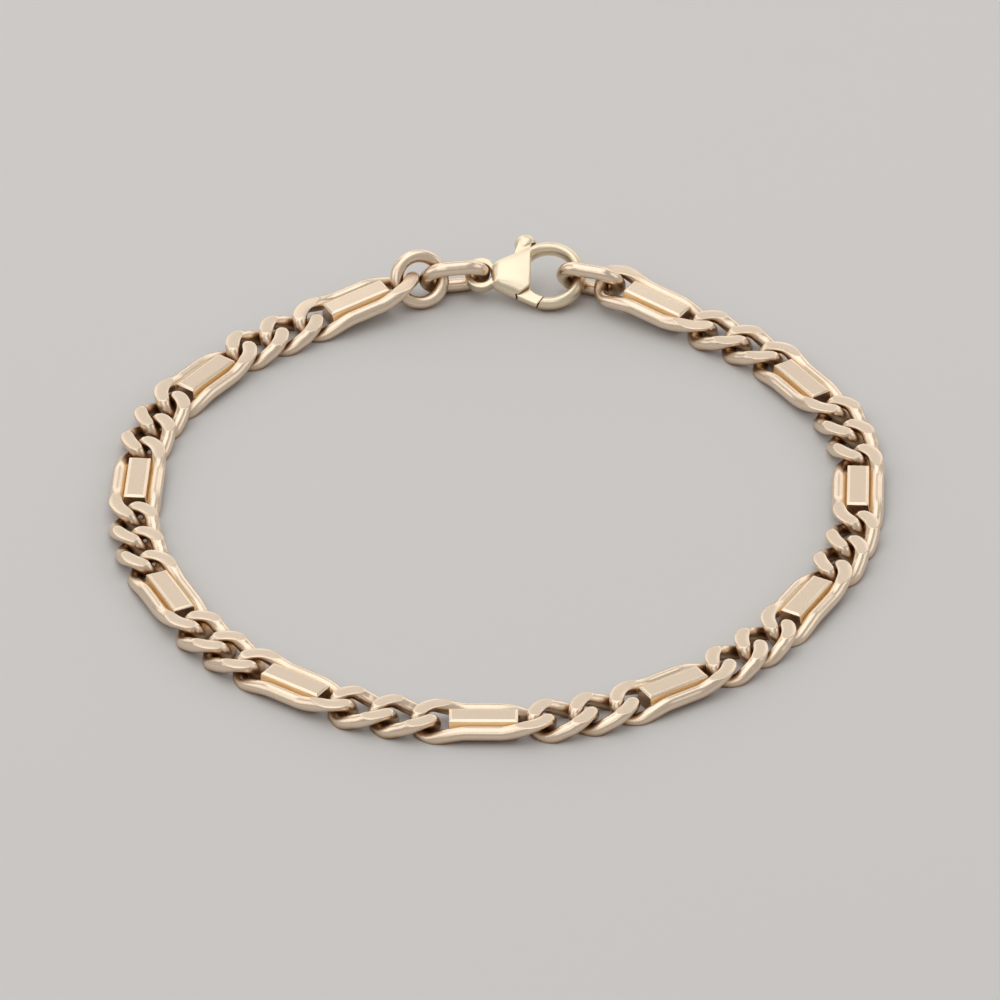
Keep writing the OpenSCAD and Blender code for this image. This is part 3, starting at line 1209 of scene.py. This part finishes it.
    def lever(self) -> bpy.types.Mesh:
        """Builds the lever: gate, hub, neck and knob, less the eye and the bore.

        Returns:
            The lever's mesh.
        """
        thick, pivot = self.lever_thick, self.pivot
        made = self.form()
        made.work(Cut.KEEP, Shape("sweep", pillar(2 * (self.gate - self.lever_gap), thick, pivot)))
        made.work(Cut.KEEP, Shape("sector", self.wedge(self.gate_low, self.gate_high, 0.0, thick)))
        made.work(Cut.JOIN, Shape("hub", pillar(2 * self.hub, thick, pivot)))
        reach = (self.knob_spot - pivot).length
        neck = block(Vector((reach, self.neck, thick)), Vector((reach / 2, 0, 0)), self.knob_angle)
        bmesh.ops.translate(neck, vec=pivot, verts=neck.verts)
        made.work(Cut.JOIN, Shape("neck", neck))
        made.work(Cut.JOIN, Shape("knob", self.button()))
        made.work(Cut.AWAY, Shape("eye", self.eye()))
        made.work(Cut.AWAY, Shape("bore", pillar(self.pin + 2 * self.pin_gap, 2 * thick, pivot)))
        return made.soften(self.LEVER_GRID, self.SKIN_PASSES).take_mesh()

    def dress(self, dresser: Dresser) -> None:
        """Builds the two pieces and puts them at the hinge.

        Args:
            dresser: What finishes and places them.
        """
        place = Seat.of_hinge(frame["joints"][0], self.pivot).matrix()
        dresser.place("lobster_clasp_body", self.body(), place, Slot.CLASP, "clasp_body")
        dresser.place("lobster_clasp_lever", self.lever(), place, Slot.CLASP, "clasp_lever",
                      LEVER_BODY)


@dataclass(frozen=True)
class Light:
    """One soft rectangular light that faces the bracelet.

    Attributes:
        name: Its name.
        spot: Its place, in metres.
        size: Its two sides, in metres.
        power: Its power, in watts.
        colour: Its colour.
    """

    name: str
    spot: Triple
    size: Pair
    power: float
    colour: Triple = (1.0, 1.0, 1.0)

    def hang(self) -> None:
        """Makes the light and turns it to the bracelet."""
        lamp = bpy.data.lights.new(self.name, "AREA")
        lamp.shape = "RECTANGLE"
        lamp.size, lamp.size_y = self.size
        lamp.energy = self.power
        lamp.color = self.colour
        holder = bpy.data.objects.new(self.name, lamp)
        holder.location = self.spot
        holder.rotation_mode = "QUATERNION"
        holder.rotation_quaternion = (-Vector(self.spot)).to_track_quat("-Z", "Y")
        bpy.context.scene.collection.objects.link(holder)


@dataclass(frozen=True)
class Studio:
    """The plain floor, the soft lights and the camera.

    Attributes:
        elevation: The camera's angle above the floor, in degrees.
        distance: The camera's distance, in metres.
        lens: Its focal length, in millimetres.
        sensor: Its sensor's width, in millimetres.
        clip: The nearest and the furthest that it sees, in metres.
        target: The point in the picture's middle, in metres.
        floor_size: Side of the floor, in metres.
        floor_colour: Linear colour of the floor.
        floor_roughness: Roughness of the floor.
        floor_clouds: Faint clouds on the floor per metre.
        cloud_shade: How dark a cloud on the floor is.
        room_colour: Linear colour of the even light of the room.
        lights: The lights.
    """

    elevation: float = 35.7
    distance: float = 1.2
    lens: float = 507.0
    sensor: float = 36.0
    clip: Pair = (0.05, 10.0)
    target: Triple = (0.24 * MM, -2.16 * MM, 1.9 * MM)
    floor_size: float = 4.0
    floor_colour: Triple = (0.62, 0.61, 0.6)
    floor_roughness: float = 0.75
    floor_clouds: float = 4.0
    cloud_shade: float = 0.97
    room_colour: Triple = (0.45, 0.44, 0.43)
    lights: tuple[Light, ...] = (
        Light("overhead", (-0.15, 0.05, 0.9), (1.3, 0.9), 3.4),
        Light("behind", (0.0, 1.1, 0.78), (0.46, 0.4), 0.17),
        Light("behind_left", (-0.56, 0.98, 0.78), (0.78, 0.56), 0.9, (1.0, 0.99, 0.96)),
        Light("behind_right", (0.56, 0.98, 0.78), (0.78, 0.56), 0.9, (1.0, 0.99, 0.96)),
        Light("low_behind", (0.0, 1.25, 0.32), (3.0, 0.46), 3.6, (1.0, 0.99, 0.96)),
        Light("front", (-0.3, -1.3, 1.15), (1.4, 0.6), 2.2, (1.0, 0.98, 0.95)),
        Light("left", (-1.3, -0.1, 0.75), (1.2, 0.9), 2.6, (1.0, 0.98, 0.96)),
        Light("right", (1.3, 0.0, 0.75), (1.2, 0.9), 2.2),
    )

    def add_floor(self) -> None:
        """Lays the plain pale floor."""
        bm = bmesh.new()
        bmesh.ops.create_grid(bm, x_segments=1, y_segments=1, size=self.floor_size / 2)
        floor = bpy.data.objects.new("floor", mesh_of("floor", bm))
        bpy.context.scene.collection.objects.link(floor)
        made = bpy.data.materials.new("floor")
        made.use_nodes = True
        nodes = Nodes(made.node_tree)
        shader = made.node_tree.nodes["Principled BSDF"]
        place = made.node_tree.nodes.new("ShaderNodeTexCoord").outputs["Object"]
        clouds = nodes.noise(place, self.floor_clouds, detail=1.0)
        cloudy = tuple(self.cloud_shade * c for c in self.floor_colour)
        colour = nodes.mixed(clouds, self.floor_colour, cloudy, NOISE_MIDDLE)
        nodes.join(colour, shader.inputs["Base Color"])
        shader.inputs["Roughness"].default_value = self.floor_roughness
        floor.data.materials.append(made)

    def add_lights(self) -> None:
        """Hangs the lights and sets the even light of the room."""
        for light in self.lights:
            light.hang()
        world = bpy.data.worlds.new("room")
        world.use_nodes = True
        world.node_tree.nodes["Background"].inputs["Color"].default_value = (*self.room_colour, 1.0)
        bpy.context.scene.world = world

    def add_camera(self) -> None:
        """Sets up the camera at the picture's angle."""
        lens = bpy.data.cameras.new("camera")
        lens.lens = self.lens
        lens.sensor_width = self.sensor
        lens.clip_start, lens.clip_end = self.clip
        camera = bpy.data.objects.new("camera", lens)
        angle = math.radians(self.elevation)
        back = Vector((0, -math.cos(angle), math.sin(angle)))
        camera.location = Vector(self.target) + self.distance * back
        camera.rotation_mode = "QUATERNION"
        camera.rotation_quaternion = (-back).to_track_quat("-Z", "Y")
        bpy.context.scene.collection.objects.link(camera)
        bpy.context.scene.camera = camera

    def dress(self) -> None:
        """Builds the whole studio."""
        self.add_floor()
        self.add_lights()
        self.add_camera()
        bpy.context.scene.view_settings.view_transform = "Standard"


def main() -> None:
    """Builds the chain, the clasp and the studio."""
    logging.basicConfig(level=logging.INFO, format="%(name)s: %(message)s")
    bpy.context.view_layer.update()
    dresser = Dresser()
    Chain().dress(dresser)
    Clasp().dress(dresser)
    Studio().dress()


if __name__ == "__main__":
    main()
